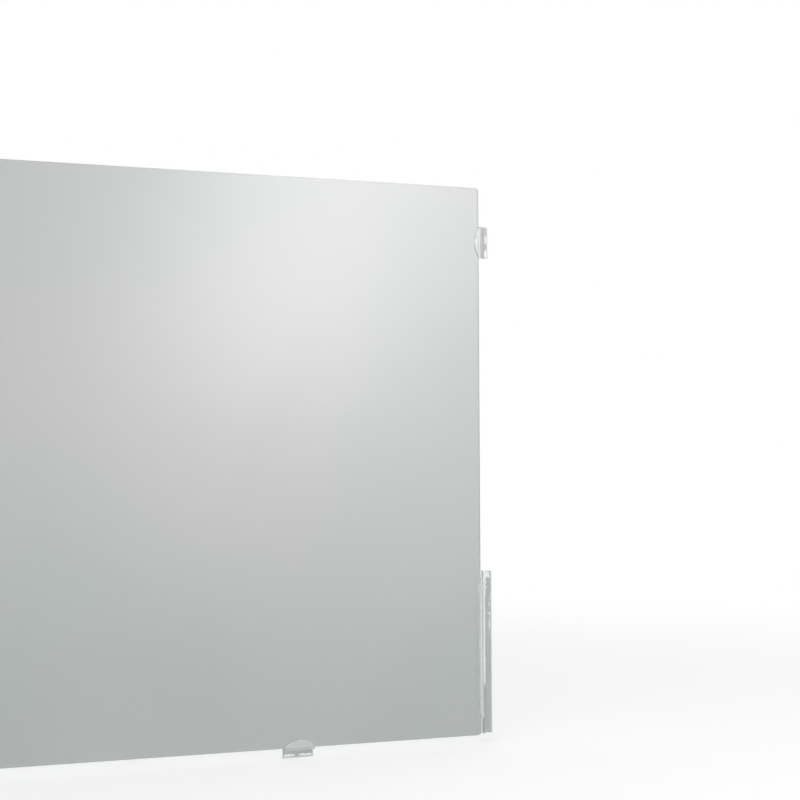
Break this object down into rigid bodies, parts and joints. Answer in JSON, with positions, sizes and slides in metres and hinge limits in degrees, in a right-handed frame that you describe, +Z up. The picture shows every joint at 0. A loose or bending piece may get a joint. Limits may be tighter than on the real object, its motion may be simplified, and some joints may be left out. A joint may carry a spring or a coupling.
{
  "type": "monitor blue light filter",
  "caption": "Thin see-through grey filter sheet for a wide screen that slides down behind clear stick-on guides and half-round tabs.",
  "frame": {"origin": "middle of the seated sheet, in the flat plane that the adhesive pads stick to", "axes": "+X to the right as a viewer sees the sheet, +Y to the back, out of the adhesive faces, +Z up, the way the sheet is lifted out"},
  "size_m": [0.545, 0.0035, 0.3039],
  "materials": {
    "filter_film": "see-through grey film, satin gloss",
    "clear_plastic": "clear moulded plastic, polished",
    "adhesive": "grey double-sided tape with pale air pockets"
  },
  "bodies": {
    "retainers": {"left_guide": "clear_plastic", "right_guide": "clear_plastic", "left_side_tab": "clear_plastic", "right_side_tab": "clear_plastic", "left_bottom_tab": "clear_plastic", "right_bottom_tab": "clear_plastic", "left_guide_pad": "adhesive", "right_guide_pad": "adhesive", "left_side_tab_pad": "adhesive", "right_side_tab_pad": "adhesive", "left_bottom_tab_pad": "adhesive", "right_bottom_tab_pad": "adhesive"},
    "filter": {"filter_sheet": "filter_film"}
  },
  "joints": [
    {"name": "filter_slide", "type": "slide", "parent": "retainers", "child": "filter", "axis": [0, 0, 1], "range_m": [0, 0.278]}
  ]
}
